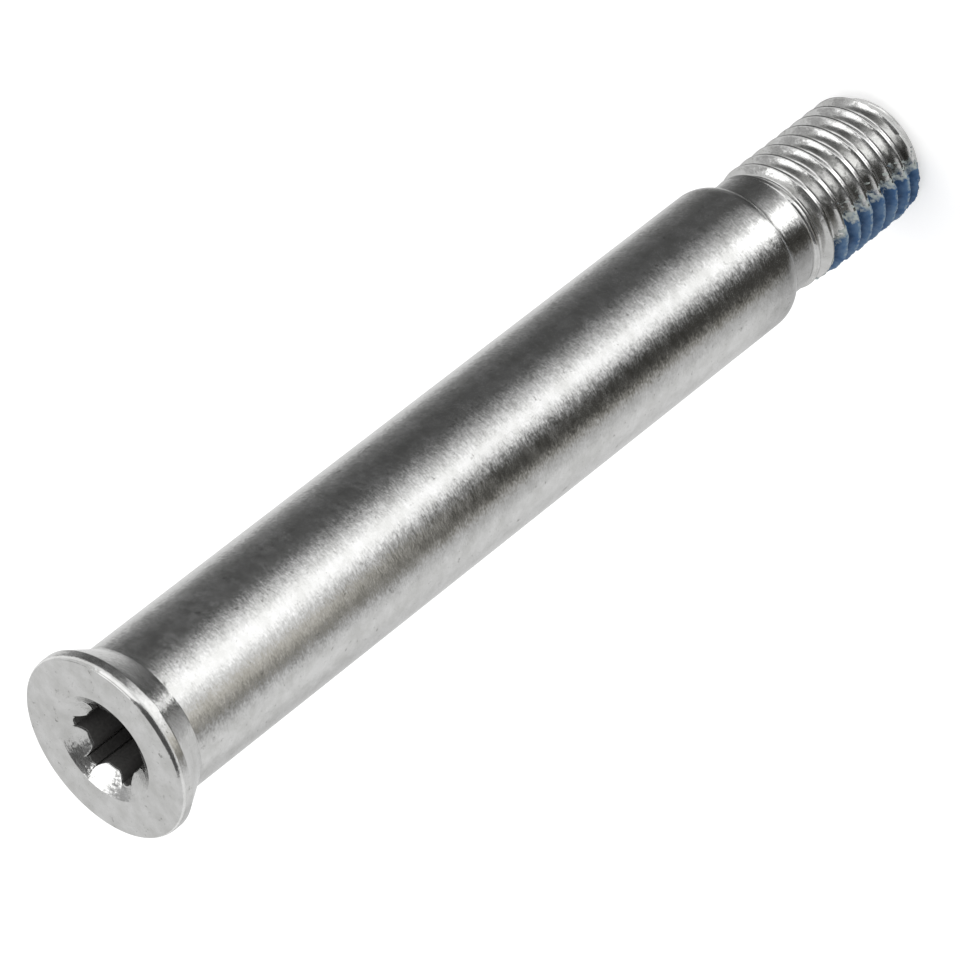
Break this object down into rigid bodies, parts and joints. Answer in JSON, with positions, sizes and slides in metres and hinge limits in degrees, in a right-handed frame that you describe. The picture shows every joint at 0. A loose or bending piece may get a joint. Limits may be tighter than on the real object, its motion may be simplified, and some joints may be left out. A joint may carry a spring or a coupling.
{
  "type": "skate axle",
  "caption": "Steel wheel axle with a flared head, a six-lobe drive socket, a plain bearing shaft and a threaded end with a blue locking coat.",
  "frame": {"origin": "middle of the flat end face of the thread, on which the axle stands", "axes": "+Z along the axle, from the threaded end up to the head; -Y is the side that the picture shows"},
  "size_m": [0.0098, 0.0098, 0.057],
  "materials": {
    "steel": "bright turned steel, satin, with fine turning marks",
    "locking_coat": "dry blue locking coat, matt, paler where it is scraped"
  },
  "bodies": {
    "root": {"axle": "steel", "thread_lock_patch": "locking_coat"}
  },
  "joints": []
}
